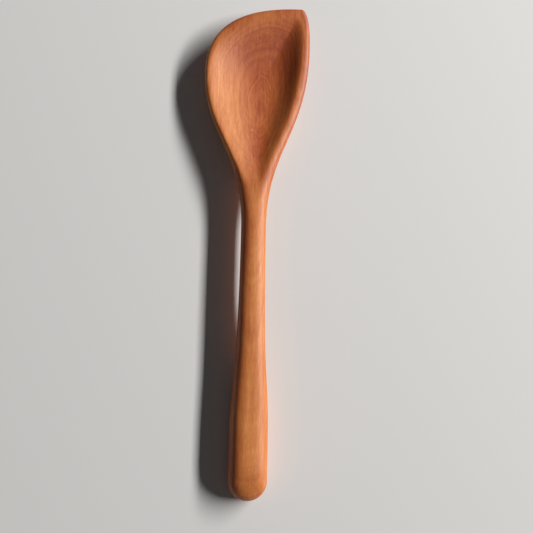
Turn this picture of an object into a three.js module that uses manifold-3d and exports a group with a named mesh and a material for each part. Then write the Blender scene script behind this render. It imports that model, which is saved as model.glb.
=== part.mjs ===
// Angled cooking spoon: a shallow bowl with one square corner, a slim neck and a rounded handle.
// It is carved in one piece from a single board, with the grain running along the handle.
// Units are millimetres. +Y runs from the butt of the handle to the tip of the bowl, +X is the
// side of the corner and +Z is up. The origin lies on the table under the middle of the spoon.
import * as THREE from "three";
import { mergeVertices } from "three/addons/utils/BufferGeometryUtils.js";
import Module from "manifold-3d";

// Lengths along the spoon from the butt to the tip
const gripLength = 33; // full-width end of the handle
const endLength = 21; // its last part, where the top falls towards the end
const taperLength = 127; // from the full-width end to the narrowest place of the neck
const archLength = 97; // from the full-width end to where the handle has risen clear of the table
const shoulderLength = 26; // from the neck to the near end of the hollow
const hollowReach = 73; // from the near end of the hollow to its deepest place, the widest of the bowl
const tipReach = 46; // from the deepest place to the tip
const crownLength = 45; // from the neck to where its round crown has become a rim

// Widths
const handleWidth = 22.7;
const neckWidth = 15.1;
const cornerSide = 33.4; // from the axis of the handle to the side with the corner
const sweptSide = 32.7; // from the axis to the side that sweeps round to the tip
const cornerRun = 5.4; // rounding of the corner along the tip edge
const cornerDrop = 23; // rounding of the corner along the side
const bowlShift = 4.6; // deepest place of the hollow off the axis, towards the corner

// Heights above the table of the upper side, of the widest line and of the underside
const endTop = 13.6;
const buttTop = 16.6;
const buttEdge = 5.6;
const neckTop = 17.8;
const neckEdge = 12.2;
const neckUnder = 9.6;
const rimTop = 14.8;
const rimEdge = 12;
const tipTop = 13.8;
const tipEdge = 11;
const restFlat = 0.4; // wood sanded away where the bowl and the butt stand on the table

// The hollow and its rim
const bowlDepth = 7.8;
const rimWidth = { corner: 4.6, swept: 2.8, tip: 7.2 }; // from the outline to where the hollow starts
const rimRounding = { corner: 4.9, swept: 2.4, tip: 3.6 }; // reach of the rounded edge from the outline
const cornerReach = 49; // how far the hollow runs from its deepest place into the corner

// Shape factors of the curves: how long the tangents are, as shares of each curve
const taperPull = { grip: 0.33, neck: 0.78 };
const cornerFlankPull = { neck: 0.43, corner: 0.51 };
const sweptFlankPull = { neck: 0.5, side: 0.425 };
const cornerPull = 0.6;
const sweepPull = 0.66;
const crownPower = { butt: 2.9, neck: 2.2 }; // section above the widest line, 2 is an ellipse
const handleBellyPower = 2.2; // section below the widest line at the handle
const bowlBellyPower = 1.6; // and at the bowl
const floorPower = { corner: 2.8, swept: 2.25, tip: 2.25 }; // how flat the bottom of the hollow is
const neckFloorPower = 1.5; // and at the hollow's near end
const lipPower = { corner: 1.6, swept: 1.3, tip: 1.45 }; // how softly it runs out at the rim
const hollowPower = { end: 1.9, fade: 1.2, corner: 12 };

// Mesh steps
const handleStations = 22;
const shoulderStations = 34;
const tipSteps = { flank: 6, corner: 10, sweep: 26 };
const buttSteps = 14;
const upperSteps = 16;
const lowerSteps = 8;

// Places along the spoon that follow from the lengths
const buttRadius = handleWidth / 2;
const archY = gripLength + archLength;
const neckY = gripLength + taperLength;
const hollowY = neckY + shoulderLength;
const bowlY = hollowY + hollowReach;
const tipY = bowlY + tipReach;

// A value that eases from one level to the next at each of the given places.
function easedLevel(y, levels) {
  let value = levels[0].level;
  for (let i = 1; i < levels.length; i++) {
    const share = THREE.MathUtils.smoothstep(y, levels[i - 1].y, levels[i].y);
    value += (levels[i].level - levels[i - 1].level) * share;
  }
  return value;
}

const topLevel = (y) =>
  easedLevel(y, [
    { y: 0, level: endTop },
    { y: endLength, level: buttTop },
    { y: neckY, level: neckTop },
    { y: bowlY, level: rimTop },
    { y: tipY, level: tipTop },
  ]);

const edgeLevel = (y) =>
  easedLevel(y, [
    { y: gripLength, level: buttEdge },
    { y: archY, level: neckEdge },
    { y: neckY, level: neckEdge },
    { y: bowlY, level: rimEdge },
    { y: tipY, level: tipEdge },
  ]);

const underLevel = (y) =>
  easedLevel(y, [
    { y: gripLength, level: -restFlat },
    { y: archY, level: neckUnder },
    { y: neckY, level: neckUnder },
    { y: bowlY, level: -restFlat },
  ]);

const crownPowerAt = (y) =>
  easedLevel(y, [
    { y: gripLength, level: crownPower.butt },
    { y: neckY, level: crownPower.neck },
  ]);

// 0 along the handle, 1 at the bowl: the section changes slowly, the crown soon becomes a rim
const bowlShare = (y) => THREE.MathUtils.smoothstep(y, neckY, bowlY);
const rimShare = (y) => THREE.MathUtils.smoothstep(y, neckY, neckY + crownLength);

// A curve that leaves its start and reaches its end along the given directions.
function pulledCurve(start, startPull, end, endPull) {
  return new THREE.CubicBezierCurve(
    start,
    start.clone().add(startPull),
    end.clone().sub(endPull),
    end,
  );
}

const vec = (x, y) => new THREE.Vector2(x, y);

// The curves of the outline seen from above. The side with the corner has positive X.
const taper = pulledCurve(
  vec(buttRadius, gripLength),
  vec(0, taperPull.grip * taperLength),
  vec(neckWidth / 2, neckY),
  vec(0, taperPull.neck * taperLength),
);
const flankLength = tipY - cornerDrop - neckY;
const cornerFlank = pulledCurve(
  vec(neckWidth / 2, neckY),
  vec(0, cornerFlankPull.neck * flankLength),
  vec(cornerSide, tipY - cornerDrop),
  vec(0, cornerFlankPull.corner * flankLength),
);
const sweptFlank = pulledCurve(
  vec(neckWidth / 2, neckY),
  vec(0, sweptFlankPull.neck * (bowlY - neckY)),
  vec(sweptSide, bowlY),
  vec(0, sweptFlankPull.side * (bowlY - neckY)),
);
const corner = pulledCurve(
  vec(cornerSide, tipY - cornerDrop),
  vec(0, cornerPull * cornerDrop),
  vec(cornerSide - cornerRun, tipY),
  vec(-cornerPull * cornerRun, 0),
);
const sweepRun = cornerSide - cornerRun + sweptSide;
const sweep = pulledCurve(
  vec(cornerSide - cornerRun, tipY),
  vec(-sweepPull * sweepRun, 0),
  vec(-sweptSide, bowlY),
  vec(0, -sweepPull * tipReach),
);

// Where a curve that climbs steadily passes the given Y.
function shareAtY(curve, y) {
  let low = 0;
  let high = 1;
  const halvings = 40;
  for (let i = 0; i < halvings; i++) {
    const middle = (low + high) / 2;
    if (curve.getPoint(middle).y < y) low = middle;
    else high = middle;
  }
  return (low + high) / 2;
}

const halfWidthAt = (curve, y) => curve.getPoint(shareAtY(curve, y)).x;

function halfWidths(y) {
  if (y <= gripLength) return { right: buttRadius, left: buttRadius };
  if (y <= neckY) {
    const half = halfWidthAt(taper, y);
    return { right: half, left: half };
  }
  return { right: halfWidthAt(cornerFlank, y), left: halfWidthAt(sweptFlank, y) };
}

// A place on the middle line: the ridge of the handle, the deepest line of the bowl
const middleAt = (y) => vec(bowlShift * bowlShare(y), y);

// Equal steps between two values, without the first.
function stepsBetween(start, end, count) {
  return Array.from({ length: count }, (_, i) => THREE.MathUtils.lerp(start, end, (i + 1) / count));
}

// The outline once round, counter-clockwise from the butt, each point with the place on the
// middle line that its section runs to. The ends of the spoon fan out from one place.
function outlineColumns() {
  const columns = [];
  const stations = [
    buttRadius,
    ...stepsBetween(buttRadius, neckY, handleStations),
    ...stepsBetween(neckY, bowlY, shoulderStations),
  ];
  for (const y of stations) {
    columns.push({ edge: vec(halfWidths(y).right, y), middle: middleAt(y) });
  }

  const deepest = middleAt(bowlY);
  const tipEdges = [
    ...stepsBetween(shareAtY(cornerFlank, bowlY), 1, tipSteps.flank).map((t) => cornerFlank.getPoint(t)),
    ...corner.getSpacedPoints(tipSteps.corner).slice(1),
    ...sweep.getSpacedPoints(tipSteps.sweep).slice(1, -1),
  ];
  for (const edge of tipEdges) {
    columns.push({ edge, middle: deepest });
  }

  for (const y of stations.toReversed()) {
    columns.push({ edge: vec(-halfWidths(y).left, y), middle: middleAt(y) });
  }
  const buttCentre = vec(0, buttRadius);
  for (const angle of stepsBetween(Math.PI, 2 * Math.PI, buttSteps).slice(0, -1)) {
    const edge = vec(Math.cos(angle), Math.sin(angle)).multiplyScalar(buttRadius).add(buttCentre);
    columns.push({ edge, middle: middleAt(buttRadius) });
  }
  return columns;
}

// Height of a rounded section at a share of its reach: 1 at share 0, falling to 0 at share 1.
function rounded(share, power) {
  return Math.pow(Math.max(0, 1 - Math.pow(share, power)), 1 / power);
}

// A size of the rim where it lies in the given direction from the middle of the bowl
function aroundRim({ corner: cornerSize, swept: sweptSize, tip: tipSize }, direction) {
  const sideSize = THREE.MathUtils.lerp(sweptSize, cornerSize, (1 + direction.x) / 2);
  return THREE.MathUtils.lerp(sideSize, tipSize, direction.y * direction.y);
}

// How far the hollow runs towards an edge at the given reach. It rounds off inside the corner.
function hollowSpan(reach, rim) {
  const power = hollowPower.corner;
  return Math.pow(Math.pow(reach - rim, -power) + Math.pow(cornerReach, -power), -1 / power);
}

// Depth of the hollow below the upper side along the middle line
function middleDepth(y) {
  const along = THREE.MathUtils.clamp((bowlY - y) / hollowReach, 0, 1);
  return bowlDepth * Math.pow(1 - Math.pow(along, hollowPower.end), hollowPower.fade);
}

// The same at a share of the way from the middle line to the rim
function hollowDepth(y, share, direction) {
  const floorShare = THREE.MathUtils.smoothstep(y, hollowY, bowlY);
  const flatness = THREE.MathUtils.lerp(neckFloorPower, aroundRim(floorPower, direction), floorShare);
  const bottom = 1 - Math.pow(Math.min(1, share), flatness);
  return middleDepth(y) * Math.pow(bottom, aroundRim(lipPower, direction));
}

function upperPoint({ edge, middle }, across) {
  const point = middle.clone().lerp(edge, across);
  const reach = edge.distanceTo(middle);
  const direction = edge.clone().sub(middle).divideScalar(reach);
  const rounding = THREE.MathUtils.lerp(reach, aroundRim(rimRounding, direction), rimShare(middle.y));
  const inset = (1 - across) * reach;
  const shoulder = rounded(Math.max(0, 1 - inset / rounding), crownPowerAt(middle.y));
  const base = edgeLevel(edge.y);
  const height = base + (topLevel(point.y) - base) * shoulder;
  const span = hollowSpan(reach, aroundRim(rimWidth, direction));
  const depth = hollowDepth(middle.y, (across * reach) / span, direction);
  return new THREE.Vector3(point.x, point.y, height - depth);
}

function lowerPoint({ edge, middle }, across) {
  const point = middle.clone().lerp(edge, across);
  const power = THREE.MathUtils.lerp(handleBellyPower, bowlBellyPower, bowlShare(middle.y));
  const base = edgeLevel(edge.y);
  const height = base - (base - underLevel(middle.y)) * rounded(across, power);
  return new THREE.Vector3(point.x, point.y, height);
}

// One half section: from the middle line over the upper side, round the edge, back below.
function sectionPoints(column) {
  const points = [];
  for (let i = 0; i <= upperSteps; i++) {
    points.push(upperPoint(column, Math.sin(((i / upperSteps) * Math.PI) / 2)));
  }
  for (let i = lowerSteps - 1; i >= 0; i--) {
    points.push(lowerPoint(column, Math.sin(((i / lowerSteps) * Math.PI) / 2)));
  }
  return points;
}

// The skin of the spoon, a closed mesh of quads between neighbouring half sections.
function carvedSkin() {
  const columns = outlineColumns().map(sectionPoints);
  const rows = columns[0].length;
  const positions = new Float32Array(columns.flat().flatMap((p) => p.toArray()));
  const index = [];
  columns.forEach((_, j) => {
    const here = j * rows;
    const next = ((j + 1) % columns.length) * rows;
    for (let i = 0; i + 1 < rows; i++) {
      index.push(here + i, here + i + 1, next + i + 1);
      index.push(here + i, next + i + 1, next + i);
    }
  });
  const skin = new THREE.BufferGeometry();
  skin.setAttribute("position", new THREE.BufferAttribute(positions, 3));
  skin.setIndex(index);
  return skin;
}

const wasm = await Module();
wasm.setup();

// A closed geometry as a solid. Triangles that shrink to a line where sections meet are left out.
function solidOf(geometry) {
  const bare = geometry.clone();
  bare.deleteAttribute("normal");
  bare.deleteAttribute("uv");
  const merged = mergeVertices(bare);
  const corners = merged.index.array;
  const triVerts = [];
  for (let i = 0; i < corners.length; i += 3) {
    const [a, b, c] = corners.slice(i, i + 3);
    if (a !== b && b !== c && c !== a) triVerts.push(a, b, c);
  }
  const vertProperties = merged.getAttribute("position").array;
  const mesh = new wasm.Mesh({ numProp: 3, vertProperties, triVerts: new Uint32Array(triVerts) });
  return new wasm.Manifold(mesh);
}

function geometryOf(solid) {
  const { vertProperties, triVerts } = solid.getMesh();
  const geometry = new THREE.BufferGeometry();
  geometry.setAttribute("position", new THREE.BufferAttribute(vertProperties, 3));
  geometry.setIndex(new THREE.BufferAttribute(triVerts, 1));
  geometry.computeVertexNormals();
  return geometry;
}

// What is sanded off below the table plane, which leaves the two flats that the spoon stands on
function tableSlab() {
  const depth = 2 * restFlat;
  const slab = new THREE.BoxGeometry(2 * (cornerSide + sweptSide), 2 * tipY, depth);
  slab.translate(0, tipY / 2, -depth / 2);
  return slab;
}

function spoon() {
  const geometry = geometryOf(solidOf(carvedSkin()).subtract(solidOf(tableSlab())));
  const wood = new THREE.MeshStandardMaterial({ color: 0xb9713f, roughness: 0.45, metalness: 0 });
  const mesh = new THREE.Mesh(geometry, wood);
  mesh.name = "spoon";
  mesh.position.set((sweptSide - cornerSide) / 2, -tipY / 2, 0);
  return mesh;
}

const angledSpoon = new THREE.Group();
angledSpoon.name = "angled_spoon";
angledSpoon.add(spoon());

export default angledSpoon;
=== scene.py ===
"""Angled wooden spoon on a pale floor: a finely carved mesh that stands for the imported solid."""
import math

import bpy
from mathutils import Color, Matrix, Vector, noise


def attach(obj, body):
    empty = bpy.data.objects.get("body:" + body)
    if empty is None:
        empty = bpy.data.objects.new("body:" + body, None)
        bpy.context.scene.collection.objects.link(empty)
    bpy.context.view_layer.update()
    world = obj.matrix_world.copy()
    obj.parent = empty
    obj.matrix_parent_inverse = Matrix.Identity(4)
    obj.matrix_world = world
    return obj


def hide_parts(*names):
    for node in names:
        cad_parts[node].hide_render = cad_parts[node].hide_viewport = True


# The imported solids
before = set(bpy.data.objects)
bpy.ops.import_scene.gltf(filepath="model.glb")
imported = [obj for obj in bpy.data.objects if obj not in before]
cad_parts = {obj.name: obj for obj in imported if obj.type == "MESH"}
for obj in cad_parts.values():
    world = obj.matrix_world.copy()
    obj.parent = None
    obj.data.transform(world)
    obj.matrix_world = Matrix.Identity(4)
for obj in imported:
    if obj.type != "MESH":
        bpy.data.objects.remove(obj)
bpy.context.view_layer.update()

# Sizes of the spoon and of its wood are in millimetres.
MM = 0.001

# Lengths along the spoon, from the butt to the tip
GRIP_LENGTH = 33.0  # full-width end of the handle
END_LENGTH = 21.0  # its last part, where the top falls towards the end
TAPER_LENGTH = 127.0  # from the full-width end to the narrowest place of the neck
ARCH_LENGTH = 97.0  # from the full-width end to where the handle has risen clear of the floor
SHOULDER_LENGTH = 26.0  # from the neck to the near end of the hollow
HOLLOW_REACH = 73.0  # from there to the deepest place of the hollow, the widest of the bowl
TIP_REACH = 46.0  # from the deepest place to the tip
CROWN_LENGTH = 45.0  # from the neck to where its round crown has become a rim

# Widths
HANDLE_WIDTH = 22.7
NECK_WIDTH = 15.1
CORNER_SIDE = 33.4  # from the axis of the handle to the side with the corner
SWEPT_SIDE = 32.7  # from the axis to the side that sweeps round to the tip
CORNER_RUN = 5.4  # rounding of the corner along the tip edge
CORNER_DROP = 23.0  # rounding of the corner along the side
BOWL_SHIFT = 4.6  # deepest place of the hollow off the axis, towards the corner

# Heights above the floor of the upper side, of the widest line and of the underside
END_TOP = 13.6
BUTT_TOP = 16.6
BUTT_EDGE = 5.6
NECK_TOP = 17.8
NECK_EDGE = 12.2
NECK_UNDER = 9.6
RIM_TOP = 14.8
RIM_EDGE = 12.0
TIP_TOP = 13.8
TIP_EDGE = 11.0
REST_FLAT = 0.4  # wood sanded away where the bowl and the butt stand on the floor

# The hollow and its rim. Sizes of the rim are given at the corner side, the swept side and the tip.
BOWL_DEPTH = 7.8
RIM_WIDTH = (4.6, 2.8, 7.2)  # from the outline to where the hollow starts
RIM_ROUNDING = (4.9, 2.4, 3.6)  # reach of the rounded edge from the outline
CORNER_REACH = 49.0  # how far the hollow runs from its deepest place into the corner

# Shape factors of the curves: how long the tangents are, as shares of each curve
TAPER_GRIP_PULL = 0.33
TAPER_NECK_PULL = 0.78
CORNER_FLANK_NECK_PULL = 0.43
CORNER_FLANK_END_PULL = 0.51
SWEPT_FLANK_NECK_PULL = 0.5
SWEPT_FLANK_END_PULL = 0.425
CORNER_PULL = 0.6
SWEEP_PULL = 0.66

# Shape factors of the sections, where 2 is an ellipse, and of the hollow
BUTT_CROWN_POWER = 2.9  # section above the widest line
NECK_CROWN_POWER = 2.2
HANDLE_BELLY_POWER = 2.2  # section below the widest line
BOWL_BELLY_POWER = 1.6
HOLLOW_FLOOR_POWER = (2.8, 2.25, 2.25)  # how flat the bottom of the hollow is
NECK_FLOOR_POWER = 1.5  # and at the hollow's near end
HOLLOW_LIP_POWER = (1.6, 1.3, 1.45)  # how softly it runs out at the rim
HOLLOW_END_POWER = 1.9  # how long it stays deep towards the neck
HOLLOW_FADE_POWER = 1.2  # how softly it runs out there
HOLLOW_CORNER_POWER = 12.0  # how tightly it rounds off inside the corner

# Traces of carving and sanding: how deep they are, and how far apart across and along the spoon
UNEVEN_DEPTH = 0.12
UNEVEN_SPACING = Vector((15.0, 38.0, 15.0))

# Wood that use has rubbed darker along the sides of the bowl, and painted shade on the handle's swept
# side,
# which faces away from the window: how far both reach in from the outline, and how many times as dark
# the painted shade on the handle is as the wear on the sides of the bowl
WEAR_AND_SHADE_ATTRIBUTE = "wear_and_shade"
WEAR_AND_SHADE_REACH = 10.0
HANDLE_PAINTED_SHADE = 2.0

# Mesh steps
HANDLE_STATIONS = 80
SHOULDER_STATIONS = 76
FLANK_STEPS = 20
CORNER_STEPS = 28
SWEEP_STEPS = 70
BUTT_STEPS = 36
UPPER_STEPS = 44
LOWER_STEPS = 24
MERGE_DIGITS = 4  # points that agree to so many decimals are one
FEWEST_CORNERS = 3  # faces that are left with fewer are dropped

# Places along the spoon that follow from the lengths
BUTT_RADIUS = HANDLE_WIDTH / 2
ARCH_Y = GRIP_LENGTH + ARCH_LENGTH
NECK_Y = GRIP_LENGTH + TAPER_LENGTH
HOLLOW_Y = NECK_Y + SHOULDER_LENGTH
BOWL_Y = HOLLOW_Y + HOLLOW_REACH
TIP_Y = BOWL_Y + TIP_REACH
ORIGIN = Vector(((CORNER_SIDE - SWEPT_SIDE) / 2, TIP_Y / 2, 0))

# Levels that ease from place to place along the spoon
TOP_LEVELS = (
    (0.0, END_TOP),
    (END_LENGTH, BUTT_TOP),
    (NECK_Y, NECK_TOP),
    (BOWL_Y, RIM_TOP),
    (TIP_Y, TIP_TOP),
)
EDGE_LEVELS = (
    (GRIP_LENGTH, BUTT_EDGE),
    (ARCH_Y, NECK_EDGE),
    (NECK_Y, NECK_EDGE),
    (BOWL_Y, RIM_EDGE),
    (TIP_Y, TIP_EDGE),
)
UNDER_LEVELS = (
    (GRIP_LENGTH, -REST_FLAT),
    (ARCH_Y, NECK_UNDER),
    (NECK_Y, NECK_UNDER),
    (BOWL_Y, -REST_FLAT),
)
CROWN_POWERS = ((GRIP_LENGTH, BUTT_CROWN_POWER), (NECK_Y, NECK_CROWN_POWER))

# Shares of the way from the middle line to the edge, over the upper side and back below
UPPER_SHARES = [math.sin(math.pi / 2 * i / UPPER_STEPS) for i in range(UPPER_STEPS + 1)]
LOWER_SHARES = [math.sin(math.pi / 2 * i / LOWER_STEPS) for i in reversed(range(LOWER_STEPS))]

# The wood, from the middle of the spoon: growth rings round a pith that lies below it, and noise
# that is stretched along the grain
PITH_SIDE = 4.0
PITH_HEIGHT = -90.0
PITH_TILT = 0.09
RING_WIDTH = 0.9
RING_WARP = 1.6
WARP_SPACING = (26.0, 70.0, 26.0)
BLOTCH_SPACING = (24.0, 60.0, 24.0)
STREAK_SPACING = (1.6, 24.0, 1.6)
FIBRE_SPACING = (0.5, 7.0, 0.5)
FLECK_SPACING = (0.8, 3.0, 0.8)
NOISE_DETAIL = 2.0
STREAK_DETAIL = 3.0
FLECK_DETAIL = 1.0
NOISE_MIDDLE = 0.5  # value that the noise keeps around

# Where the heartwood darkens: along the spoon from its middle, and from the top down
HEART_START = 74.0
HEART_END = 136.0
HEART_SLANT = 0.4
HEART_TOP = 18.5
HEART_DEEP = 8.5

# Where the paler sapwood lies, across the spoon from its middle
SAP_START = -4.0
SAP_END = -30.0

# Painted shade in the near end of the hollow, where it runs out into the neck: its place and its reach
NEAR_END_SHADE_PLACE = (1.5, 50.0, 12.0)
NEAR_END_SHADE_REACH = (10.0, 34.0, 14.0)

# An eye in the floor of the hollow, where the rings dip: its place and reach, how far its edge
# sways, how far the rings dip there and how much more they show
EYE_PLACE = (2.0, 82.0, 7.0)
EYE_REACH = (16.0, 38.0, 20.0)
EYE_SWAY = (14.0, 40.0, 0.0)
SWAY_SPACING = (9.0, 26.0, 9.0)
EYE_DIP = 4.0
EYE_CONTRAST = 1.4

# How dark the wood is, from 0 to 1, and what each part of the figure, the wear and the painted shade
# adds to that
TONE_BASE = 0.35
TONE_HEART = 0.42
TONE_SAP = -0.1
# Painted shade in the near end of the hollow
TONE_NEAR_END_SHADE = 0.26
TONE_EYE = 0.2
TONE_RING = 0.25
TONE_BLOTCH = 0.4
TONE_STREAK = 0.4
TONE_FIBRE = 0.3
TONE_FLECK = 0.16
TONE_END_GRAIN = 0.08
# Wear rubbed into the rim, and painted shade on the handle's swept side
TONE_WEAR_AND_SHADE = 0.16

# Colours of the wood at these tones, as a screen shows them from 0 to 255
WOOD_TONES = (
    (0.0, (242, 170, 94)),
    (0.33, (213, 127, 62)),
    (0.66, (178, 85, 36)),
    (1.0, (126, 40, 17)),
)
SCREEN_WHITE = 255

# The oiled surface
WOOD_GLOSS = 0.65
WOOD_ROUGHNESS = 0.55
ROUGHNESS_CHANGE = 0.12
FIBRE_STRENGTH = 0.12
FIBRE_DEPTH = 0.0002  # in metres

# The floor, in metres as everything below
FLOOR_SIZE = 8.0
FLOOR_COLOUR = (230, 228, 225)
FLOOR_ROUGHNESS = 0.9

# An upright window to the right of the spoon, which reaches from behind its butt to far beyond
# its tip, and faint light from all round
WINDOW_DISTANCE = 2.03
WINDOW_HEIGHT = 1.4
WINDOW_START = -0.36
WINDOW_END = 2.2
WINDOW_TALL = 0.34
WINDOW_ENERGY = 129.0
ROOM_COLOUR = (240, 240, 242)
ROOM_STRENGTH = 0.055

# The camera stands almost above the handle, turned a little against the spoon.
CAMERA_PLACE = Vector((-0.0195, -0.0904, 0.4252))
CAMERA_AIM = Vector((0.0088, -0.0144, 0.0))
CAMERA_TURN = math.radians(1.1)
IMAGE_WIDTH = 533
FOCAL_PIXELS = 700
SENSOR_WIDTH = 36.0


def lerp(start, end, share):
    return start + (end - start) * share


def ease(value, start, end):
    """0 at the start, 1 at the end, with a soft rise in between."""
    share = min(max((value - start) / (end - start), 0.0), 1.0)
    return share * share * (3 - 2 * share)


def eased_level(levels, y):
    level = levels[0][1]
    for (start, before), (end, after) in zip(levels, levels[1:]):
        level += (after - before) * ease(y, start, end)
    return level


def steps_between(start, end, count):
    """Equal steps between two values, without the first."""
    return [lerp(start, end, (i + 1) / count) for i in range(count)]


class Curve:
    """A cubic curve that leaves its start and reaches its end along the given pulls."""

    def __init__(self, start, start_pull, end, end_pull):
        start, end = Vector(start), Vector(end)
        self.points = (start, start + Vector(start_pull), end - Vector(end_pull), end)

    def at(self, share):
        a, b, c, d = self.points
        rest = 1 - share
        return a * rest**3 + b * (3 * share * rest**2) + c * (3 * share**2 * rest) + d * share**3

    def share_at_y(self, y):
        low, high = 0.0, 1.0
        halvings = 40
        for _ in range(halvings):
            middle = (low + high) / 2
            if self.at(middle).y < y:
                low = middle
            else:
                high = middle
        return (low + high) / 2

    def x_at_y(self, y):
        return self.at(self.share_at_y(y)).x


# The curves of the outline seen from above. The side with the corner has positive X.
flank_length = TIP_Y - CORNER_DROP - NECK_Y
swept_length = BOWL_Y - NECK_Y
sweep_run = CORNER_SIDE - CORNER_RUN + SWEPT_SIDE
taper = Curve(
    (BUTT_RADIUS, GRIP_LENGTH),
    (0, TAPER_GRIP_PULL * TAPER_LENGTH),
    (NECK_WIDTH / 2, NECK_Y),
    (0, TAPER_NECK_PULL * TAPER_LENGTH),
)
corner_flank = Curve(
    (NECK_WIDTH / 2, NECK_Y),
    (0, CORNER_FLANK_NECK_PULL * flank_length),
    (CORNER_SIDE, TIP_Y - CORNER_DROP),
    (0, CORNER_FLANK_END_PULL * flank_length),
)
swept_flank = Curve(
    (NECK_WIDTH / 2, NECK_Y),
    (0, SWEPT_FLANK_NECK_PULL * swept_length),
    (SWEPT_SIDE, BOWL_Y),
    (0, SWEPT_FLANK_END_PULL * swept_length),
)
corner = Curve(
    (CORNER_SIDE, TIP_Y - CORNER_DROP),
    (0, CORNER_PULL * CORNER_DROP),
    (CORNER_SIDE - CORNER_RUN, TIP_Y),
    (-CORNER_PULL * CORNER_RUN, 0),
)
sweep = Curve(
    (CORNER_SIDE - CORNER_RUN, TIP_Y),
    (-SWEEP_PULL * sweep_run, 0),
    (-SWEPT_SIDE, BOWL_Y),
    (0, -SWEEP_PULL * TIP_REACH),
)


def half_widths(y):
    """How far the outline lies from the axis, on the side with the corner and on the swept side."""
    if y <= GRIP_LENGTH:
        return BUTT_RADIUS, BUTT_RADIUS
    if y <= NECK_Y:
        half = taper.x_at_y(y)
        return half, half
    return corner_flank.x_at_y(y), swept_flank.x_at_y(y)


def middle_at(y):
    """A place on the middle line: the ridge of the handle, the deepest line of the bowl."""
    return Vector((BOWL_SHIFT * ease(y, NECK_Y, BOWL_Y), y))


def outline_columns():
    """The outline once round, each point with the place on the middle line that its section runs to."""
    stations = [BUTT_RADIUS]
    stations += steps_between(BUTT_RADIUS, NECK_Y, HANDLE_STATIONS)
    stations += steps_between(NECK_Y, BOWL_Y, SHOULDER_STATIONS)
    columns = [(Vector((half_widths(y)[0], y)), middle_at(y)) for y in stations]

    deepest = middle_at(BOWL_Y)
    flank_start = corner_flank.share_at_y(BOWL_Y)
    tip = [corner_flank.at(share) for share in steps_between(flank_start, 1, FLANK_STEPS)]
    tip += [corner.at(share) for share in steps_between(0, 1, CORNER_STEPS)]
    tip += [sweep.at(share) for share in steps_between(0, 1, SWEEP_STEPS)[:-1]]
    columns += [(edge, deepest) for edge in tip]
    columns += [(Vector((-half_widths(y)[1], y)), middle_at(y)) for y in reversed(stations)]

    butt_centre = Vector((0, BUTT_RADIUS))
    for angle in steps_between(math.pi, 2 * math.pi, BUTT_STEPS)[:-1]:
        edge = butt_centre + BUTT_RADIUS * Vector((math.cos(angle), math.sin(angle)))
        columns.append((edge, middle_at(BUTT_RADIUS)))
    return columns


def rounded(share, power):
    """Height of a rounded section: 1 at share 0, falling to 0 at share 1."""
    return max(0.0, 1 - share**power) ** (1 / power)


def rim_share(y):
    """0 along the handle, 1 where its round crown has become the rim of the bowl."""
    return ease(y, NECK_Y, NECK_Y + CROWN_LENGTH)


def around_rim(sizes, direction):
    """A size of the rim where it lies in the given direction from the middle of the bowl."""
    corner_size, swept_size, tip_size = sizes
    side_size = lerp(swept_size, corner_size, (1 + direction.x) / 2)
    return lerp(side_size, tip_size, direction.y**2)


def hollow_span(reach, rim):
    """How far the hollow runs towards an edge at the given reach. It rounds off inside the corner."""
    power = HOLLOW_CORNER_POWER
    return ((reach - rim) ** -power + CORNER_REACH**-power) ** (-1 / power)


def hollow_depth(y, share, direction):
    """Depth of the hollow at a place on the middle line and a share of the way from there to the rim."""
    along = min(max((BOWL_Y - y) / HOLLOW_REACH, 0.0), 1.0)
    lengthwise = (1 - along**HOLLOW_END_POWER) ** HOLLOW_FADE_POWER
    bowl_share = ease(y, HOLLOW_Y, BOWL_Y)
    floor_power = lerp(NECK_FLOOR_POWER, around_rim(HOLLOW_FLOOR_POWER, direction), bowl_share)
    lip_power = around_rim(HOLLOW_LIP_POWER, direction)
    crosswise = (1 - min(share, 1.0) ** floor_power) ** lip_power
    return BOWL_DEPTH * lengthwise * crosswise


def unevenness(x, y, z):
    place = Vector((x / UNEVEN_SPACING.x, y / UNEVEN_SPACING.y, z / UNEVEN_SPACING.z))
    return UNEVEN_DEPTH * noise.noise(place)


def upper_point(edge, middle, across):
    point = middle.lerp(edge, across)
    reach = (edge - middle).length
    direction = (edge - middle) / reach
    rounding = lerp(reach, around_rim(RIM_ROUNDING, direction), rim_share(middle.y))
    inset = (1 - across) * reach
    shoulder = rounded(max(0.0, 1 - inset / rounding), eased_level(CROWN_POWERS, middle.y))
    base = eased_level(EDGE_LEVELS, edge.y)
    height = base + (eased_level(TOP_LEVELS, point.y) - base) * shoulder
    span = hollow_span(reach, around_rim(RIM_WIDTH, direction))
    height -= hollow_depth(middle.y, across * reach / span, direction)
    return Vector((point.x, point.y, height + unevenness(point.x, point.y, height)))


def lower_point(edge, middle, across):
    point = middle.lerp(edge, across)
    power = lerp(HANDLE_BELLY_POWER, BOWL_BELLY_POWER, ease(middle.y, NECK_Y, BOWL_Y))
    base = eased_level(EDGE_LEVELS, edge.y)
    height = base - (base - eased_level(UNDER_LEVELS, middle.y)) * rounded(across, power)
    return Vector((point.x, point.y, max(height + unevenness(point.x, point.y, height), 0.0)))


def section_points(edge, middle):
    """One half section: from the middle line over the upper side, round the edge, back below."""
    points = [upper_point(edge, middle, across) for across in UPPER_SHARES]
    return points + [lower_point(edge, middle, across) for across in LOWER_SHARES]


def section_wear_and_shade(edge, middle):
    """How dark each point of a half section is made, where 1 is a side of the rim: rubbed wear along the
    rim, and painted shade along the swept side of the handle.
    """
    reach = (edge - middle).length
    sideways = (edge.x - middle.x) / reach
    # The handle's swept side, away from the window, gets painted shade; the sides of the rim get rubbed
    # wear.
    handle_painted_shade = HANDLE_PAINTED_SHADE if sideways < 0 else 0.0
    most = lerp(handle_painted_shade, 1.0, rim_share(middle.y)) * sideways**2
    insets = [(1 - across) * reach for across in UPPER_SHARES + LOWER_SHARES]
    return [most * ease(inset, WEAR_AND_SHADE_REACH, 0.0) for inset in insets]


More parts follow.
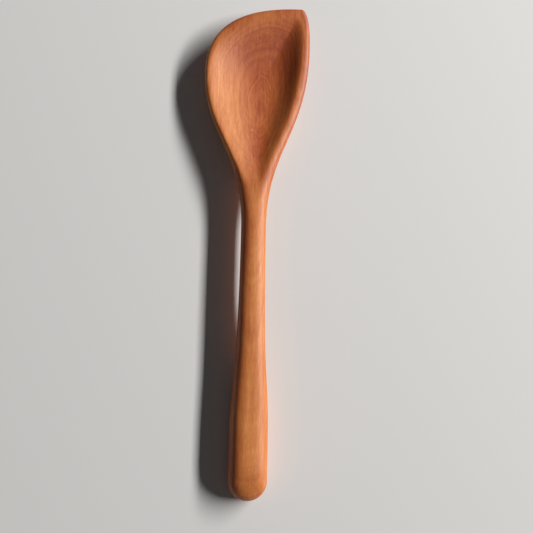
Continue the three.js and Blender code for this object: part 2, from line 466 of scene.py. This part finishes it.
def carved_mesh():
    """The closed skin of the spoon, in quads between neighbouring half sections."""
    points = []
    wear_and_shade = []
    index_of = {}
    grid = []
    for edge, middle in outline_columns():
        row = []
        for point, worn_or_shaded in zip(section_points(edge, middle), section_wear_and_shade(edge, middle)):
            key = tuple(round(value, MERGE_DIGITS) for value in point)
            if key not in index_of:
                index_of[key] = len(points)
                points.append((point - ORIGIN) * MM)
                wear_and_shade.append(worn_or_shaded)
            row.append(index_of[key])
        grid.append(row)

    faces = []
    for here, there in zip(grid, grid[1:] + grid[:1]):
        for i in range(len(here) - 1):
            ring = (here[i], here[i + 1], there[i + 1], there[i])
            face = tuple(dict.fromkeys(ring))
            if len(face) >= FEWEST_CORNERS:
                faces.append(face)
    mesh = bpy.data.meshes.new("carved_spoon")
    mesh.from_pydata(points, [], faces)
    mesh.attributes.new(WEAR_AND_SHADE_ATTRIBUTE, "FLOAT", "POINT").data.foreach_set("value", wear_and_shade)
    mesh.shade_smooth()
    return mesh


def linear(screen_colour):
    """A colour as a screen shows it, from 0 to 255, as Blender's linear colour."""
    shares = Color([value / SCREEN_WHITE for value in screen_colour])
    return (*shares.from_srgb_to_scene_linear(), 1.0)


class NodeTree:
    """A material's node tree, with short ways to add the nodes that the wood needs."""

    def __init__(self, material):
        material.use_nodes = True
        self.tree = material.node_tree
        self.tree.nodes.clear()

    def add(self, kind, inputs=(), **settings):
        node = self.tree.nodes.new(kind)
        for name, value in settings.items():
            setattr(node, name, value)
        for name, value in dict(inputs).items():
            if isinstance(value, bpy.types.NodeSocket):
                self.tree.links.new(value, node.inputs[name])
            else:
                node.inputs[name].default_value = value
        return node

    def math(self, operation, *values):
        return self.add("ShaderNodeMath", enumerate(values), operation=operation).outputs["Value"]

    def vector(self, operation, *values):
        return self.add("ShaderNodeVectorMath", enumerate(values), operation=operation).outputs["Vector"]

    def length(self, vector):
        return self.add("ShaderNodeVectorMath", {0: vector}, operation="LENGTH").outputs["Value"]

    def noise(self, place, spacing, detail=NOISE_DETAIL):
        """Noise around 0, with features of the given spacing along each axis."""
        scaled = self.vector("DIVIDE", place, spacing)
        inputs = {"Vector": scaled, "Scale": 1.0, "Detail": detail}
        return self.math("SUBTRACT", self.add("ShaderNodeTexNoise", inputs).outputs["Fac"], NOISE_MIDDLE)

    def line_noise(self, distance, spacing):
        """Noise around 0 along a distance, with features of the given spacing."""
        inputs = {"W": self.math("DIVIDE", distance, spacing), "Scale": 1.0, "Detail": NOISE_DETAIL}
        node = self.add("ShaderNodeTexNoise", inputs, noise_dimensions="1D")
        return self.math("SUBTRACT", node.outputs["Fac"], NOISE_MIDDLE)

    def between(self, value, low, high):
        """0 at the low value, 1 at the high one, eased in between and level beyond them."""
        inputs = {"Value": value, "From Min": low, "From Max": high}
        node = self.add("ShaderNodeMapRange", inputs, interpolation_type="SMOOTHSTEP")
        return node.outputs["Result"]

    def patch(self, place, centre, reach):
        """1 at the centre, easing to 0 at the given reach along each axis."""
        offset = self.vector("DIVIDE", self.vector("SUBTRACT", place, centre), reach)
        return self.between(self.length(offset), 1.0, 0.0)

    def ramp(self, value, stops):
        node = self.add("ShaderNodeValToRGB", {"Fac": value})
        elements = node.color_ramp.elements
        while len(elements) < len(stops):
            elements.new(1.0)
        for element, (position, colour) in zip(elements, stops):
            element.position = position
            element.color = linear(colour)
        return node.outputs["Color"]


def wood_material():
    material = bpy.data.materials.new("oiled_cherry")
    wood = NodeTree(material)
    coordinates = wood.add("ShaderNodeTexCoord")
    place = wood.vector("DIVIDE", coordinates.outputs["Object"], (MM, MM, MM))
    axes = wood.add("ShaderNodeSeparateXYZ", {0: place}).outputs
    along = axes["Y"]

    # The growth rings, which run along the tilted pith and dip at the eye
    tilt = wood.math("MULTIPLY", along, PITH_TILT)
    tilted = wood.vector("ADD", place, wood.add("ShaderNodeCombineXYZ", {"Z": tilt}).outputs["Vector"])
    from_pith = wood.vector("SUBTRACT", tilted, (PITH_SIDE, 0.0, PITH_HEIGHT))
    across_grain = wood.vector("MULTIPLY", from_pith, (1.0, 0.0, 1.0))
    warp = wood.noise(place, WARP_SPACING)
    radius = wood.math("MULTIPLY_ADD", warp, RING_WARP, wood.length(across_grain))
    swayed = wood.vector("MULTIPLY_ADD", wood.noise(place, SWAY_SPACING), EYE_SWAY, place)
    eye = wood.patch(swayed, EYE_PLACE, EYE_REACH)
    radius = wood.math("MULTIPLY_ADD", eye, -EYE_DIP, radius)
    contrast = wood.math("MULTIPLY_ADD", eye, EYE_CONTRAST, 1.0)
    ring = wood.math("MULTIPLY", wood.line_noise(radius, RING_WIDTH), contrast)

    # The other parts of the figure, the wear and the painted shade
    streak = wood.noise(place, STREAK_SPACING, STREAK_DETAIL)
    fibre = wood.noise(place, FIBRE_SPACING)
    fleck = wood.noise(place, FLECK_SPACING, FLECK_DETAIL)
    blotch = wood.noise(place, BLOTCH_SPACING)
    slanted = wood.math("MULTIPLY_ADD", axes["X"], HEART_SLANT, along)
    heart = wood.between(slanted, HEART_START, HEART_END)
    heart = wood.math("MULTIPLY", heart, wood.between(axes["Z"], HEART_TOP, HEART_DEEP))
    sap = wood.between(axes["X"], SAP_START, SAP_END)
    # Painted shade in the near end of the hollow
    near_end_shade = wood.patch(place, NEAR_END_SHADE_PLACE, NEAR_END_SHADE_REACH)
    facing = wood.add("ShaderNodeSeparateXYZ", {0: coordinates.outputs["Normal"]})
    end_grain = wood.math("ABSOLUTE", facing.outputs["Y"])
    # Wear rubbed into the rim, and painted shade on the handle's swept side
    wear_and_shade = wood.add("ShaderNodeAttribute", attribute_name=WEAR_AND_SHADE_ATTRIBUTE).outputs["Fac"]

    tone = TONE_BASE
    for part, share in (
        (heart, TONE_HEART),
        (sap, TONE_SAP),
        (near_end_shade, TONE_NEAR_END_SHADE),
        (eye, TONE_EYE),
        (ring, TONE_RING),
        (blotch, TONE_BLOTCH),
        (streak, TONE_STREAK),
        (fibre, TONE_FIBRE),
        (fleck, TONE_FLECK),
        (end_grain, TONE_END_GRAIN),
        (wear_and_shade, TONE_WEAR_AND_SHADE),
    ):
        tone = wood.math("MULTIPLY_ADD", part, share, tone)

    grain = {"Height": fibre, "Strength": FIBRE_STRENGTH, "Distance": FIBRE_DEPTH}
    inputs = {
        "Base Color": wood.ramp(tone, WOOD_TONES),
        "Roughness": wood.math("MULTIPLY_ADD", streak, ROUGHNESS_CHANGE, WOOD_ROUGHNESS),
        "Specular IOR Level": WOOD_GLOSS,
        "Normal": wood.add("ShaderNodeBump", grain).outputs["Normal"],
    }
    shader = wood.add("ShaderNodeBsdfPrincipled", inputs)
    wood.add("ShaderNodeOutputMaterial", {"Surface": shader.outputs["BSDF"]})
    return material


def floor_mesh():
    half = FLOOR_SIZE / 2
    corners = [(-half, -half, 0), (half, -half, 0), (half, half, 0), (-half, half, 0)]
    mesh = bpy.data.meshes.new("floor")
    mesh.from_pydata(corners, [], [tuple(range(len(corners)))])
    return mesh


def floor_material():
    material = bpy.data.materials.new("pale_floor")
    material.use_nodes = True
    shader = material.node_tree.nodes["Principled BSDF"]
    shader.inputs["Base Color"].default_value = linear(FLOOR_COLOUR)
    shader.inputs["Roughness"].default_value = FLOOR_ROUGHNESS
    return material


def link(name, data):
    item = bpy.data.objects.new(name, data)
    bpy.context.scene.collection.objects.link(item)
    return item


def look(item, place, forward, up_hint):
    """Place a lamp or camera so that it faces forward, with its top towards the hint."""
    right = forward.cross(up_hint).normalized()
    up = right.cross(forward)
    turn = Matrix((right, up, -forward)).transposed()
    item.matrix_world = Matrix.LocRotScale(place, turn.to_quaternion(), None)


def light_window():
    window = bpy.data.lights.new("window", "AREA")
    window.shape = "RECTANGLE"
    window.size = WINDOW_END - WINDOW_START
    window.size_y = WINDOW_TALL
    window.energy = WINDOW_ENERGY
    place = Vector((WINDOW_DISTANCE, (WINDOW_START + WINDOW_END) / 2, WINDOW_HEIGHT))
    look(link("window", window), place, Vector((-1, 0, 0)), Vector((0, 0, 1)))


def light_room():
    world = bpy.data.worlds.new("soft_room")
    world.use_nodes = True
    background = world.node_tree.nodes["Background"]
    background.inputs["Color"].default_value = linear(ROOM_COLOUR)
    background.inputs["Strength"].default_value = ROOM_STRENGTH
    bpy.context.scene.world = world


def place_camera():
    lens = bpy.data.cameras.new("camera")
    lens.sensor_width = SENSOR_WIDTH
    lens.lens = SENSOR_WIDTH * FOCAL_PIXELS / IMAGE_WIDTH
    camera = link("camera", lens)
    top = Vector((-math.sin(CAMERA_TURN), math.cos(CAMERA_TURN), 0))
    look(camera, CAMERA_PLACE, (CAMERA_AIM - CAMERA_PLACE).normalized(), top)
    bpy.context.scene.camera = camera


spoon = link("carved_spoon", carved_mesh())
spoon.data.materials.append(wood_material())
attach(spoon, "root")
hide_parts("spoon")

floor = link("floor", floor_mesh())
floor.data.materials.append(floor_material())

light_window()
light_room()
place_camera()
bpy.context.scene.view_settings.view_transform = "Standard"
